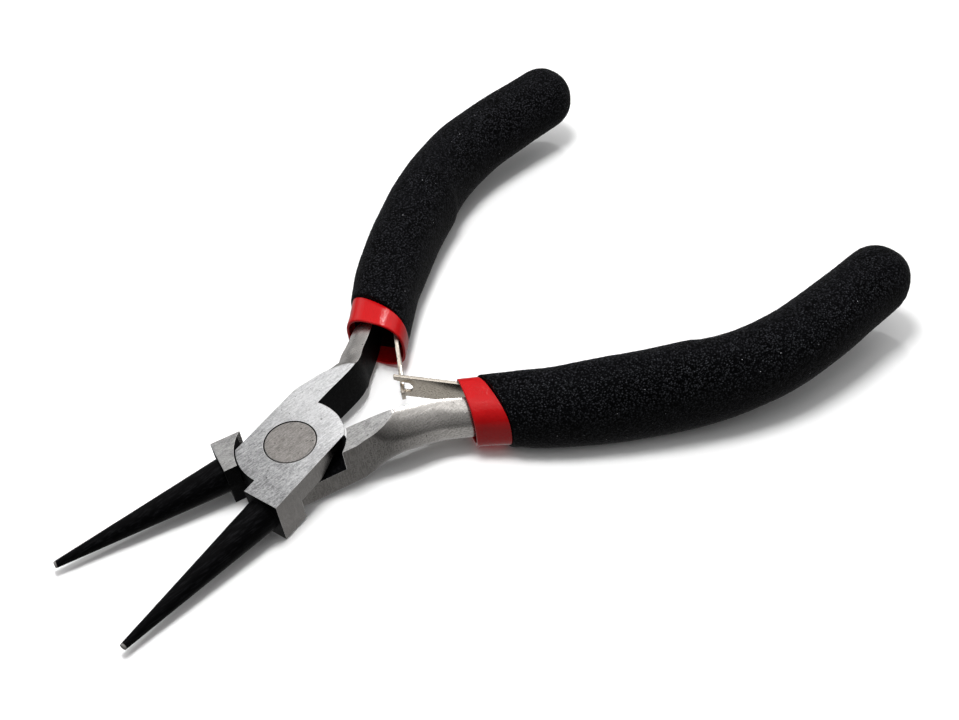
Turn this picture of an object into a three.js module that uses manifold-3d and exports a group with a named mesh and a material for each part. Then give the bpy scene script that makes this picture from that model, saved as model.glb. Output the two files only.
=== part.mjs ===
// Spring-opened round nose pliers for jewellery work, lying open on a bench.
// Millimetres, +Z up. +X runs from the rivet to the jaw tips, +Y is the lower half's handle side.
// The origin is on the rivet's axis, in the plane of the joint's underside.
import * as THREE from "three";
import { ConvexGeometry } from "three/addons/geometries/ConvexGeometry.js";
import { mergeVertices } from "three/addons/utils/BufferGeometryUtils.js";
import Module from "manifold-3d";

const wasm = await Module();
wasm.setup();

// ---- Driving dimensions ----

// How far each half is turned from the closed position.
const HALF_OPENING = THREE.MathUtils.degToRad(13.7);

// Lap joint. Each half is full height at its jaw root and its tang, and half height between them.
const JOINT_HEIGHT = 6.3;
const HALF_HEIGHT = JOINT_HEIGHT / 2;
const JOINT_HALF_WIDTH = 5.15;
const LAP_CLEARANCE = 0.15;
const DISC_RADIUS = 6.85;
const POCKET_RADIUS = 7.1;
const JAW_ROOT_FRONT = 8.75;
const JAW_ROOT_INSIDE = 0.08;
const RELIEF_START = 0.8;
const RELIEF_END = -4.3;
const RELIEF_WIDTH = 2.6;
const RELIEF_FLOOR = 0.1;

// Round jaws, tapering cones whose inner sides meet when the pliers close.
const JAW_BASE_RADIUS = 2.3;
const JAW_TIP_RADIUS = 0.45;
const JAW_TIP_ROUND = 0.12;
const JAW_TIP_X = 31.2;
const JAW_INSIDE = 0.06;
const JAW_OVERLAP = 0.6;
const JAW_SIDES = 36;

// Rivet, with flush countersunk heads.
const RIVET_HEAD_RADIUS = 3.28;
const RIVET_SHANK_RADIUS = 2.4;
const RIVET_HEAD_HEIGHT = 0.9;
const RIVET_CONE_HEIGHT = 0.8;
const RIVET_CLEARANCE = 0.2;
const RIVET_SIDES = 48;

// Tang, the D-shaped bar that each handle is built on. Its flat side faces the other handle.
const NECK_START = -3;
const TANG_ROOT_END = -8.6;
const TANG_ROOT_CORNER = 1.8;
const TANG_ROOT_TAPER = 0.45;
const TANG_NOTCH = { upper: [-14.7, 1.1], lower: [-13.3, 2.1] };
const TANG_INSIDE = { upper: 1.1, lower: 1.8 };
const TANG_BEND = { upper: [-18.0, 2.6], lower: [-18.0, 2.6] };
const NECK_DEPTH = 3.75;
const MOUTH_DEPTH = 3.4;
const GRIP_DEPTH = 2.6;
const GROUND_SPREAD = 1.28;
const GROUND_CURVE = 0.6;
const GRIP_HALF_HEIGHT = 2.5;
const GRIPPED_LENGTH = 52.5;
const NOTCH_SIZE = 0.5;
const NECK_BEHIND_NOTCH = 1.2;
const BAR_OVERLAP = 0.1;

// Both handles lie a little below the joint's middle plane.
const HANDLE_DROP = 1.4;

// Handle centre line of each closed half, measured from the pliers' middle line. The upper one is
// a little fuller behind the joint.
const HANDLE_ROUTE = {
  lower: [
    [-18.4, 2.4],
    [-21.2, 3.7],
    [-24.2, 5.1],
    [-27.6, 7.0],
    [-33.0, 9.8],
    [-43.5, 14.1],
    [-49.0, 15.9],
    [-54.6, 17.1],
    [-60.4, 17.4],
    [-66.2, 16.8],
    [-71.9, 15.7],
    [-82.0, 13.3],
  ],
  upper: [
    [-18.4, 2.65],
    [-21.2, 4.05],
    [-24.2, 5.5],
    [-27.6, 7.4],
    [-33.0, 10.15],
    [-43.5, 14.15],
    [-49.0, 15.75],
    [-54.6, 16.9],
    [-60.4, 17.3],
    [-66.2, 16.8],
    [-71.9, 15.7],
    [-82.0, 13.3],
  ],
};

// Sleeve, a soft lining inside the foam. Its thick rim shows in front of the foam.
const RIM_START = { upper: 3.75, lower: 4.1 };
const RIM_END = 7.6;
const RIM_OUTSIDE = 4.15;
const RIM_INSIDE = { upper: 4.55, lower: 4.3 };
const RIM_HALF_HEIGHT = 4.1;
const RIM_ROUND = 0.7;
const RIM_SLANT = 0.25;
const FOAM_SLANT = 0.45;
const RIM_FULLNESS = 0.72;
const BORE_FULLNESS = 0.5;
const LINING_FULLNESS = 0.8;
const RIM_WALL = 0.42;
const LINING_HALF_WIDTH = 3.45;
const LINING_HALF_HEIGHT = 3.4;
const LINING_WALL = 0.5;
const LINING_END = 58;

// Foam grip, a closed-ended tube pulled over the sleeve. Sizes change along the handle.
const FOAM_START = RIM_END + 0.3;
const FOAM_END = { upper: 68.6, lower: 69.75 };
const FOAM_END_ROUND = 5.0;
const FOAM_CLEARANCE = 0.3;
const FOAM_STATIONS = 18;
const FOAM_SIDES = 24;
const FOAM_OUTSIDE = [[6, 4.5], [20, 4.8], [34, 4.5], [46, 4.7], [66, 4.3]];
const FOAM_INSIDE = [[6, 4.3], [20, 4.7], [33.8, 5.0], [35.6, 4.7], [42, 4.8], [54, 4.95], [66, 4.9]];
const FOAM_HALF_HEIGHT = [[6, 4.8], [14, 5.5], [24, 6.3], [32, 6.4], [42, 5.6], [52, 5.1], [66, 4.9]];

// Leaf springs, strips standing on edge. They cross on the pliers' middle line.
const LEAF_THICKNESS = 0.5;
const LEAF_HEIGHT = 3.6;
const LEAF_DROP = 0.9;
const LEAF_PIVOT = {
  upper: new THREE.Vector2(-24.2, 2.4),
  lower: new THREE.Vector2(-24.2, 2.05),
};
const LEAF_ANGLE = THREE.MathUtils.degToRad(-41.8);
const FORK_SLOT_START = 8.1;
const FORK_LONG_END = 10.6;
const FORK_SHORT_END = 10.0;
const FORK_SLOT_HEIGHT = 1.8;
const HOOK_NECK_START = 7.9;
const HOOK_HEAD_START = 10.75;
const HOOK_HEAD_END = 11.4;
const HOOK_NECK_HEIGHT = 1.1;
const HOOK_HEAD_HEIGHT = 2.1;
const LEAF_ROOT_GAP = 0.35;
const LEAF_ROOT_HEIGHT = 3.4;
const LEAF_ROOT_ROUTE = [[8.5, -1.95], [13, -1.6], [19, -1.2], [26, -0.75], [30, -0.6], [36, -0.6]];
const LEAF_RIVET_AT = 33;
const LEAF_RIVET_RADIUS = 0.8;
const LEAF_RIVET_HEAD_RADIUS = 1.3;

// ---- Materials ----

const groundSteel = steel(0xb8b7b5, 0.36);
const rivetSteel = steel(0x9a948c, 0.42);
const springSteel = steel(0xb3a99a, 0.34);
const redVinyl = new THREE.MeshStandardMaterial({ color: 0xc8141a, roughness: 0.28, metalness: 0 });
const blackFoam = new THREE.MeshStandardMaterial({ color: 0x1b1c20, roughness: 0.95, metalness: 0 });

function steel(color, roughness) {
  return new THREE.MeshStandardMaterial({ color, roughness, metalness: 1 });
}

// ---- Solids ----

function solid(geometry) {
  const bare = geometry.clone();
  bare.deleteAttribute("normal");
  bare.deleteAttribute("uv");
  const merged = mergeVertices(bare, 1e-4);
  return new wasm.Manifold(
    new wasm.Mesh({
      numProp: 3,
      vertProperties: new Float32Array(merged.attributes.position.array),
      triVerts: new Uint32Array(merged.index.array),
    }),
  );
}

function toMesh(name, body, material) {
  const { vertProperties, triVerts } = body.getMesh();
  const geometry = new THREE.BufferGeometry();
  geometry.setAttribute("position", new THREE.BufferAttribute(vertProperties, 3));
  geometry.setIndex(new THREE.BufferAttribute(triVerts, 1));
  const flat = geometry.toNonIndexed();
  flat.computeVertexNormals();
  const mesh = new THREE.Mesh(flat, material);
  mesh.name = name;
  return mesh;
}

// A flat outline raised from one height to another.
function prism(shape, low, high, curveSegments = 20) {
  const options = { depth: high - low, bevelEnabled: false, curveSegments };
  return solid(new THREE.ExtrudeGeometry(shape, options).translate(0, 0, low));
}

function box(x, y, z) {
  const geometry = new THREE.BoxGeometry(x[1] - x[0], y[1] - y[0], z[1] - z[0]);
  return solid(geometry.translate((x[0] + x[1]) / 2, (y[0] + y[1]) / 2, (z[0] + z[1]) / 2));
}

function disc(radius, low, high, sides) {
  const geometry = new THREE.CylinderGeometry(radius, radius, high - low, sides);
  return solid(geometry.rotateX(Math.PI / 2).translate(0, 0, (low + high) / 2));
}

function hull(points) {
  return solid(new ConvexGeometry(points.map((point) => new THREE.Vector3(...point))));
}

// A value read from a list of [place, value] pairs, with smooth steps between them.
function valueAt(list, place) {
  if (place <= list[0][0]) return list[0][1];
  const next = list.findIndex(([at]) => at > place);
  if (next < 0) return list[list.length - 1][1];
  const [[from, low], [to, high]] = [list[next - 1], list[next]];
  return THREE.MathUtils.lerp(low, high, THREE.MathUtils.smoothstep(place, from, to));
}

// ---- Bodies swept along a line in plan ----

class PlanLine {
  constructor(points) {
    this.curve = new THREE.SplineCurve(points.map(([x, y]) => new THREE.Vector2(x, y)));
    this.curve.arcLengthDivisions = 400;
    this.length = this.curve.getLength();
  }

  // The point at a length along the line, moved sideways: positive is away from the other handle.
  at(along, sideways) {
    const u = THREE.MathUtils.clamp(along / this.length, 0, 1);
    const point = this.curve.getPointAt(u);
    const tangent = this.curve.getTangentAt(u);
    const beyond = along - u * this.length;
    return new THREE.Vector2(
      point.x + tangent.x * beyond + tangent.y * sideways,
      point.y + tangent.y * beyond - tangent.x * sideways,
    );
  }
}

const handleLine = {
  lower: new PlanLine(HANDLE_ROUTE.lower),
  upper: new PlanLine(HANDLE_ROUTE.upper),
};

// A closed body swept along a line. Each station says how far along it is and how big its section
// is; outline(angle, station) gives the sideways place and the height of each point of the section.
function sweep(line, stations, sides, outline) {
  const profile = [new THREE.Vector2(0, 0)];
  stations.forEach((_, index) => profile.push(new THREE.Vector2(1, index)));
  profile.push(new THREE.Vector2(0, stations.length - 1));
  const geometry = new THREE.LatheGeometry(profile, sides);
  const position = geometry.attributes.position;
  for (let i = 0; i < position.count; i += 1) {
    const [x, y, z] = [position.getX(i), position.getY(i), position.getZ(i)];
    const size = Math.hypot(x, z);
    const station = stations[Math.round(y)];
    const { out, up } = outline(Math.atan2(z, x), station);
    const slant = (station.slant ?? 0) * out * size;
    const place = line.at(station.along + slant, out * size);
    position.setXYZ(i, place.x, place.y, up * size + (station.lift ?? 0));
  }
  return solid(geometry);
}

// A section with one width on each side. Its power is 1 for an ellipse, and less for fuller corners.
function fullOval(angle, { outside, inside, height, power = 0.9 }) {
  const across = Math.cos(angle);
  const reach = across > 0 ? outside : inside;
  return {
    out: Math.sign(across) * Math.abs(across) ** power * reach,
    up: Math.sign(Math.sin(angle)) * Math.abs(Math.sin(angle)) ** power * height,
  };
}

// A D section, flat on the side that faces the other handle.
function halfRound(angle, { outside, height }) {
  return { out: Math.max(0, Math.cos(angle)) * outside, up: Math.sin(angle) * height };
}

function range(from, to, count) {
  return Array.from({ length: count + 1 }, (_, i) => THREE.MathUtils.lerp(from, to, i / count));
}

// ---- Steel halves ----
// Each half is drawn closed, with its handle on the +Y side, its jaw on the -Y side, and the plate
// that laps over the other half underneath. Height 0 is the joint's middle plane.

function plateOutline(tangInside) {
  const shoulder = Math.asin(JOINT_HALF_WIDTH / DISC_RADIUS);
  const throat = Math.asin(tangInside / DISC_RADIUS);
  const shape = new THREE.Shape();
  shape.moveTo(JAW_ROOT_FRONT, -JOINT_HALF_WIDTH);
  shape.lineTo(JAW_ROOT_FRONT, -JAW_ROOT_INSIDE);
  shape.lineTo(DISC_RADIUS, -JAW_ROOT_INSIDE);
  shape.absarc(0, 0, DISC_RADIUS, 0, shoulder, false);
  shape.lineTo(NECK_START, JOINT_HALF_WIDTH);
  shape.lineTo(NECK_START, tangInside);
  shape.absarc(0, 0, DISC_RADIUS, Math.PI - throat, Math.PI + shoulder, false);
  return shape;
}

function tangRootOutline(tangInside) {
  const shape = new THREE.Shape();
  shape.moveTo(NECK_START, tangInside);
  shape.lineTo(NECK_START, JOINT_HALF_WIDTH);
  shape.lineTo(TANG_ROOT_END + TANG_ROOT_CORNER, JOINT_HALF_WIDTH);
  shape.lineTo(TANG_ROOT_END, JOINT_HALF_WIDTH - TANG_ROOT_TAPER);
  shape.lineTo(TANG_ROOT_END, tangInside);
  return shape;
}

function roundJaw() {
  const baseX = JAW_ROOT_FRONT - JAW_OVERLAP;
  const profile = [
    [0, baseX],
    [JAW_BASE_RADIUS, baseX],
    [JAW_TIP_RADIUS, JAW_TIP_X - JAW_TIP_ROUND],
    [JAW_TIP_RADIUS - JAW_TIP_ROUND, JAW_TIP_X],
    [0, JAW_TIP_X],
  ].map(([radius, x]) => new THREE.Vector2(radius, x));
  const geometry = new THREE.LatheGeometry(profile, JAW_SIDES).rotateZ(-Math.PI / 2);
  const position = geometry.attributes.position;
  for (let i = 0; i < position.count; i += 1) {
    const along = (position.getX(i) - baseX) / (JAW_TIP_X - baseX);
    const centre = THREE.MathUtils.lerp(JAW_BASE_RADIUS, JAW_TIP_RADIUS, along) + JAW_INSIDE;
    position.setY(i, position.getY(i) - centre);
  }
  return solid(geometry);
}

// The neck is ground flat with the joint. The flat narrows towards the notch, where it ends, so the
// round section grows taller than the joint in front of the notch and is cut off at its height.
function tangStations(line, notchX, rootDepth, drop) {
  const neckLength = NECK_START - notchX;
  const mouth = line.length - GRIPPED_LENGTH;
  return range(0, line.length, 30).map((along) => {
    const beforeNotch = Math.max(0, neckLength - along);
    const inGrip = THREE.MathUtils.smoothstep(along, mouth - 1.5, mouth + 2.4);
    const swell = THREE.MathUtils.smoothstep(along, neckLength * 0.4, neckLength);
    const towardsGrip = THREE.MathUtils.smoothstep(along, neckLength, mouth);
    const swollen = THREE.MathUtils.lerp(rootDepth, NECK_DEPTH, swell);
    const neckDepth = THREE.MathUtils.lerp(swollen, MOUTH_DEPTH, towardsGrip);
    const groundWidth = Math.min(0.985, (GROUND_SPREAD * beforeNotch ** GROUND_CURVE) / neckDepth);
    const neckHeight = HALF_HEIGHT / Math.sqrt(1 - groundWidth ** 2);
    return {
      along,
      outside: THREE.MathUtils.lerp(neckDepth, GRIP_DEPTH, inGrip),
      height: THREE.MathUtils.lerp(neckHeight, GRIP_HALF_HEIGHT, inGrip),
      lift: -drop * THREE.MathUtils.smoothstep(along, neckLength, mouth + 2),
    };
  });
}

function tang(side, drop) {
  const notchAt = TANG_NOTCH[side];
  const inside = TANG_INSIDE[side];
  const neck = [[NECK_START, inside], [TANG_ROOT_END, inside], notchAt];
  const line = new PlanLine([...neck, TANG_BEND[side], ...HANDLE_ROUTE[side].slice(1, -1)]);
  const rootDepth = JOINT_HALF_WIDTH - inside;
  return sweep(line, tangStations(line, notchAt[0], rootDepth, drop), 24, halfRound);
}

function notch([x, y], face) {
  const cut = new THREE.BoxGeometry(NOTCH_SIZE, NOTCH_SIZE, NOTCH_SIZE);
  cut.rotateX(Math.PI / 4);
  return solid(cut.translate(x, y, face * HALF_HEIGHT));
}

// The slanting relief ground off the plate's inner corner, behind the jaw.
function plateRelief() {
  const edge = -JOINT_HALF_WIDTH;
  const [top, bottom] = [-LAP_CLEARANCE, -HALF_HEIGHT + RELIEF_FLOOR];
  const [front, back] = [RELIEF_START, RELIEF_END];
  const far = back - RELIEF_WIDTH * 2;
  return hull([
    [front, edge, top],
    [back, edge, bottom],
    [back - 1.5, edge + RELIEF_WIDTH, top],
    [front, edge - 3, top],
    [back, edge - 3, bottom],
    [far, edge - 3, bottom],
    [far, edge + RELIEF_WIDTH, top],
    [front, edge - 3, top + 1],
    [far, edge + RELIEF_WIDTH, top + 1],
    [front, edge, top + 1],
  ]);
}

function rivetBody(clearance, reach) {
  const [head, shank] = [RIVET_HEAD_RADIUS + clearance, RIVET_SHANK_RADIUS + clearance];
  const headInside = HALF_HEIGHT - RIVET_HEAD_HEIGHT;
  const coneInside = headInside - RIVET_CONE_HEIGHT;
  const profile = [
    [0, -reach],
    [head, -reach],
    [head, -headInside],
    [shank, -coneInside],
    [shank, coneInside],
    [head, headInside],
    [head, reach],
    [0, reach],
  ].map(([radius, height]) => new THREE.Vector2(radius, height));
  return solid(new THREE.LatheGeometry(profile, RIVET_SIDES).rotateX(Math.PI / 2));
}

function leafRivetHole(side) {
  const from = handleLine[side].at(LEAF_RIVET_AT, -2);
  const to = handleLine[side].at(LEAF_RIVET_AT, 4);
  return rod(from, to, LEAF_RIVET_RADIUS + RIVET_CLEARANCE);
}

// A round bar lying in plan from one point to another, at the middle height.
function rod(from, to, radius) {
  const length = from.distanceTo(to);
  const geometry = new THREE.CylinderGeometry(radius, radius, length, 16).rotateZ(Math.PI / 2);
  geometry.rotateZ(Math.atan2(to.y - from.y, to.x - from.x));
  return solid(geometry.translate((from.x + to.x) / 2, (from.y + to.y) / 2, 0));
}

// The drop is how far the handle's middle lies below the joint's, in the half's own frame.
function forgedHalf(side, drop) {
  const tangInside = TANG_INSIDE[side];
  const full = [-HALF_HEIGHT, HALF_HEIGHT];
  const neckEnd = TANG_NOTCH[side][0] - NECK_BEHIND_NOTCH;
  const slab = box([neckEnd - BAR_OVERLAP, JAW_TIP_X], [-20, 20], full);
  const behindNeck = box([-100, neckEnd], [-20, 40], [-20, 20]);
  const root = box([3, JAW_ROOT_FRONT], [-JOINT_HALF_WIDTH, -JAW_ROOT_INSIDE], full);
  const blocks = root.add(prism(tangRootOutline(tangInside), ...full)).add(tang(side, drop));
  const pocket = disc(POCKET_RADIUS, -LAP_CLEARANCE, HALF_HEIGHT + 5, 72);
  const plate = prism(plateOutline(tangInside), -HALF_HEIGHT, -LAP_CLEARANCE, 28);
  return blocks
    .intersect(slab.add(behindNeck))
    .subtract(pocket)
    .add(plate)
    .add(roundJaw())
    .subtract(plateRelief())
    .subtract(rivetBody(RIVET_CLEARANCE, HALF_HEIGHT + 1))
    .subtract(notch(TANG_NOTCH[side], Math.sign(drop)))
    .subtract(leafRivetHole(side).translate(0, 0, -drop));
}

// ---- Sleeve and foam ----

function sleeve(side) {
  const start = RIM_START[side];
  const rim = [
    [start, RIM_ROUND, RIM_SLANT],
    [start + 0.25, RIM_ROUND * 0.3, RIM_SLANT],
    [start + RIM_ROUND, 0, RIM_SLANT],
    [RIM_END, 0, FOAM_SLANT],
  ].map(([along, less, slant]) => ({
    along,
    slant,
    outside: RIM_OUTSIDE - less,
    inside: RIM_INSIDE[side] - less,
    height: RIM_HALF_HEIGHT - less,
    power: RIM_FULLNESS,
  }));
  const lining = range(RIM_END + 0.02, LINING_END, 10).map((along, index) => ({
    along,
    slant: index === 0 ? FOAM_SLANT : 0,
    outside: LINING_HALF_WIDTH,
    inside: LINING_HALF_WIDTH,
    height: LINING_HALF_HEIGHT,
    power: LINING_FULLNESS,
  }));
  const boreStations = [start - 2, ...range(start, RIM_END, 4), ...range(10, LINING_END + 1, 9)];
  const bore = boreStations.map((along) => {
    const narrow = THREE.MathUtils.smoothstep(along, RIM_START.lower + 1.5, RIM_END + 1.5);
    const between = (mouth, inner) => THREE.MathUtils.lerp(mouth, inner, narrow);
    return {
      along,
      outside: between(RIM_OUTSIDE - RIM_WALL, LINING_HALF_WIDTH - LINING_WALL),
      inside: between(RIM_INSIDE[side] - RIM_WALL, LINING_HALF_WIDTH - LINING_WALL),
      height: between(RIM_HALF_HEIGHT - RIM_WALL, LINING_HALF_HEIGHT - LINING_WALL),
      power: between(BORE_FULLNESS, LINING_FULLNESS),
    };
  });
  const body = sweep(handleLine[side], [...rim, ...lining], 24, fullOval);
  return body.subtract(sweep(handleLine[side], bore, 20, fullOval));
}

function foamSection(side, along) {
  const left = (FOAM_END[side] - along) / FOAM_END_ROUND;
  const size = left >= 1 ? 1 : Math.sqrt(Math.max(0, 1 - (1 - left) ** 2.4));
  return {
    along,
    slant: THREE.MathUtils.lerp(FOAM_SLANT, 0, THREE.MathUtils.smoothstep(along, FOAM_START, 16)),
    outside: valueAt(FOAM_OUTSIDE, along) * size,
    inside: valueAt(FOAM_INSIDE, along) * size,
    height: valueAt(FOAM_HALF_HEIGHT, along) * size,
  };
}

function foamGrip(side) {
  const roundStart = FOAM_END[side] - FOAM_END_ROUND;
  const tip = [0.25, 0.5, 0.72, 0.88, 0.97].map((share) => roundStart + share * FOAM_END_ROUND);
  const stations = [...range(FOAM_START, roundStart, FOAM_STATIONS), ...tip];
  const sections = stations.map((along) => foamSection(side, along));
  const body = sweep(handleLine[side], sections, FOAM_SIDES, fullOval);
  const bore = range(FOAM_START - 2, LINING_END + 1.5, 12).map((along) => ({
    along,
    outside: LINING_HALF_WIDTH + FOAM_CLEARANCE,
    inside: LINING_HALF_WIDTH + FOAM_CLEARANCE,
    height: LINING_HALF_HEIGHT + FOAM_CLEARANCE,
  }));
  return body.subtract(sweep(handleLine[side], bore, 20, fullOval));
}

// ---- Leaf springs ----

// A strip outline drawn along the leaf and up, stood on edge at the leaf's pivot.
function standingStrip(side, shape) {
  const geometry = new THREE.ExtrudeGeometry(shape, {
    depth: LEAF_THICKNESS,
    bevelEnabled: false,
    curveSegments: 8,
  });
  geometry.translate(0, 0, -LEAF_THICKNESS / 2).rotateX(Math.PI / 2).rotateZ(LEAF_ANGLE);
  return solid(geometry.translate(LEAF_PIVOT[side].x, LEAF_PIVOT[side].y, 0));
}

function forkTongue(side) {
  const [half, slot] = [LEAF_HEIGHT / 2, FORK_SLOT_HEIGHT / 2];
  const shape = new THREE.Shape();
  shape.moveTo(0, -half);
  shape.lineTo(FORK_SHORT_END - 0.6, -half);
  shape.lineTo(FORK_SHORT_END, -half + 0.6);
  shape.lineTo(FORK_SHORT_END, -slot);
  shape.lineTo(FORK_SLOT_START + slot, -slot);
  shape.absarc(FORK_SLOT_START + slot, 0, slot, -Math.PI / 2, Math.PI / 2, true);
  shape.lineTo(FORK_LONG_END, slot);
  shape.lineTo(FORK_LONG_END, half);
  shape.lineTo(0, half);
  return standingStrip(side, shape);
}

function hookTongue(side) {
  const [half, neck, head] = [LEAF_HEIGHT / 2, HOOK_NECK_HEIGHT / 2, HOOK_HEAD_HEIGHT / 2];
  const shape = new THREE.Shape();
  shape.moveTo(0, -half);
  shape.lineTo(HOOK_NECK_START - 0.5, -half);
  shape.lineTo(HOOK_NECK_START, -neck);
  shape.lineTo(HOOK_HEAD_START, -neck);
  shape.lineTo(HOOK_HEAD_START, -head);
  shape.lineTo(HOOK_HEAD_END, -head);
  shape.lineTo(HOOK_HEAD_END, head);
  shape.lineTo(HOOK_HEAD_START, head);
  shape.lineTo(HOOK_HEAD_START, neck);
  shape.lineTo(HOOK_NECK_START, neck);
  shape.lineTo(HOOK_NECK_START - 0.5, half);
  shape.lineTo(0, half);
  return standingStrip(side, shape);
}

// The fixed part of the leaf, bowed from its rivet on the tang to the sleeve's mouth.
function leafRoot(side) {
  const direction = new THREE.Vector2(Math.cos(LEAF_ANGLE), Math.sin(LEAF_ANGLE));
  const start = LEAF_PIVOT[side].clone().addScaledVector(direction, -LEAF_ROOT_GAP);
  const route = LEAF_ROOT_ROUTE.map(([along, sideways]) => handleLine[side].at(along, sideways));
  const points = [start, ...route].map(({ x, y }) => [x, y]);
  const line = new PlanLine(points);
  const edge = (sideways) => range(0, line.length, 14).map((along) => line.at(along, sideways));
  const shape = new THREE.Shape([
    ...edge(LEAF_THICKNESS / 2),
    ...edge(-LEAF_THICKNESS / 2).reverse(),
  ]);
  return prism(shape, -LEAF_ROOT_HEIGHT / 2, LEAF_ROOT_HEIGHT / 2).subtract(leafRivetHole(side));
}

function leafRivet(side) {
  const at = (sideways) => handleLine[side].at(LEAF_RIVET_AT, sideways);
  return rod(at(-1.6), at(-1.15), LEAF_RIVET_HEAD_RADIUS).add(rod(at(-1.3), at(2), LEAF_RIVET_RADIUS));
}

// ---- Assembly ----

// Down is -1 for a half that is drawn right side up, and 1 for the one that is turned over.
function halfGroup(side, tongue, down) {
  const group = new THREE.Group();
  const grip = new THREE.Group();
  grip.add(
    toMesh(`${side}_sleeve`, sleeve(side), redVinyl),
    toMesh(`${side}_foam_grip`, foamGrip(side), blackFoam),
    toMesh(`${side}_leaf_root`, leafRoot(side), springSteel),
    toMesh(`${side}_leaf_rivet`, leafRivet(side), rivetSteel),
  );
  grip.position.z = down * HANDLE_DROP;
  const tongueMesh = toMesh(`${side}_leaf_tongue`, tongue, springSteel);
  tongueMesh.position.z = down * LEAF_DROP;
  const half = toMesh(`${side}_half`, forgedHalf(side, -down * HANDLE_DROP), groundSteel);
  group.add(half, grip, tongueMesh);
  return group;
}

const lower = halfGroup("lower", forkTongue("lower"), -1);
lower.rotation.z = -HALF_OPENING;

const upper = new THREE.Group();
const turnedOver = halfGroup("upper", hookTongue("upper"), 1);
turnedOver.rotation.x = Math.PI;
upper.add(turnedOver);
upper.rotation.z = HALF_OPENING;

const pliers = new THREE.Group();
pliers.add(lower, upper, toMesh("joint_rivet", rivetBody(0, HALF_HEIGHT), rivetSteel));
pliers.position.z = HALF_HEIGHT;

export default pliers;
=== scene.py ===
"""Round nose pliers lying open on a pale floor. Blender is in metres, the shapes are in millimetres."""
import math

import bmesh
import bpy
import numpy as np
from mathutils import Matrix, Vector, noise


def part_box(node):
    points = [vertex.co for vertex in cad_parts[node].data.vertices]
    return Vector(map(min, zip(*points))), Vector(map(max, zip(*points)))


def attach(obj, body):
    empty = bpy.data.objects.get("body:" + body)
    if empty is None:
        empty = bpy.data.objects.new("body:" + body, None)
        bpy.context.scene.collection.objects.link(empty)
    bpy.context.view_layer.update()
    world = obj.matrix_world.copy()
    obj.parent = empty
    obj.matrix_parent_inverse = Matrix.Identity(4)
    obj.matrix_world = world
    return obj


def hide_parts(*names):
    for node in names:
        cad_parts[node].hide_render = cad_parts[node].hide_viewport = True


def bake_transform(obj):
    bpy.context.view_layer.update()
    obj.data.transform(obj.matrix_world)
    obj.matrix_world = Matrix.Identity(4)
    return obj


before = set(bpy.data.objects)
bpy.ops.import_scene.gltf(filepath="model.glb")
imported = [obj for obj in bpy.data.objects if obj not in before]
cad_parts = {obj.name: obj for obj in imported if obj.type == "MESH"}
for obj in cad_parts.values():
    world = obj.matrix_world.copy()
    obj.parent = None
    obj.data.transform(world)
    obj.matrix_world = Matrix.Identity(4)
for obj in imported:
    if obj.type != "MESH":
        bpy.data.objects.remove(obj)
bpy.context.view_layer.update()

# ---- Driving dimensions, in millimetres, in each half's own frame ----
# A half's own frame has the rivet's axis at the origin and the joint's middle at height 0. The half
# is closed, with its handle on the +Y side, its jaw on the -Y side and its lap plate underneath.

MM = 0.001
rivet_low, rivet_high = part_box("joint_rivet")
HALF_HEIGHT = (rivet_high[2] - rivet_low[2]) / 2 / MM
HALF_OPENING = math.radians(13.7)

JOINT_HALF_WIDTH = 5.15
LAP_CLEARANCE = 0.12
DISC_RADIUS = 6.85
POCKET_RADIUS = 7.05
JAW_ROOT_FRONT = 8.75
JAW_ROOT_INSIDE = 0.08
JAW_BASE_RADIUS = 2.3
JAW_TIP_RADIUS = 0.45
JAW_TIP_X = 31.2
JAW_INSIDE = 0.06
JAW_SUNK = 0.6
JAW_EDGE = 0.12
RIVET_HEAD_RADIUS = 3.26
RIVET_CLEARANCE = 0.12
RIVET_EDGE = 0.08

NECK_START = -3.0
TANG_ROOT_END = -8.6
TANG_NOTCH = {"upper": (-14.7, 1.1), "lower": (-13.3, 2.1)}
NOTCH_SIZE = {"upper": 0.15, "lower": 0.22}
TANG_INSIDE = {"upper": 1.1, "lower": 1.8}
TANG_BEND = {"upper": (-18.0, 2.6), "lower": (-18.0, 2.6)}
NECK_DEPTH = 3.75
MOUTH_DEPTH = 3.4
GRIP_DEPTH = 2.6
GROUND_SPREAD = 1.33
GROUND_CURVE = 0.6
MOUTH_HALF_HEIGHT = 2.95
GRIP_HALF_HEIGHT = 2.5
GRIPPED_LENGTH = 52.5
TANG_SHOWN = 12.0
TANG_RINGS = 150
TANG_SIDES = 96

HANDLE_DROP = 1.4
HANDLE_ROUTE = {
    "lower": [
        (-18.4, 2.4), (-21.2, 3.7), (-24.2, 5.1), (-27.6, 7.0), (-33.0, 9.8), (-43.5, 14.1),
        (-49.0, 15.9), (-54.6, 17.1), (-60.4, 17.4), (-66.2, 16.8), (-71.9, 15.7), (-82.0, 13.3),
    ],
    "upper": [
        (-18.4, 2.65), (-21.2, 4.05), (-24.2, 5.5), (-27.6, 7.4), (-33.0, 10.15), (-43.5, 14.15),
        (-49.0, 15.75), (-54.6, 16.9), (-60.4, 17.3), (-66.2, 16.8), (-71.9, 15.7), (-82.0, 13.3),
    ],
}

RIM_START = {"upper": 3.75, "lower": 4.1}
RIM_END = 7.6
RIM_OUTSIDE = 4.1
RIM_INSIDE = {"upper": 4.4, "lower": 4.18}
RIM_HALF_HEIGHT = 4.05
RIM_SLANT = 0.25
RIM_FULLNESS = 0.75
BORE_FULLNESS = 0.55
RIM_WALL = 0.40
BORE_WALL = 0.9
RED_DEPTH = 2.2
RIM_DEPTH = 9.0
OUTSIDE_RINGS = 12
LIP_RINGS = 14
SLEEVE_SIDES = 96

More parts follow.
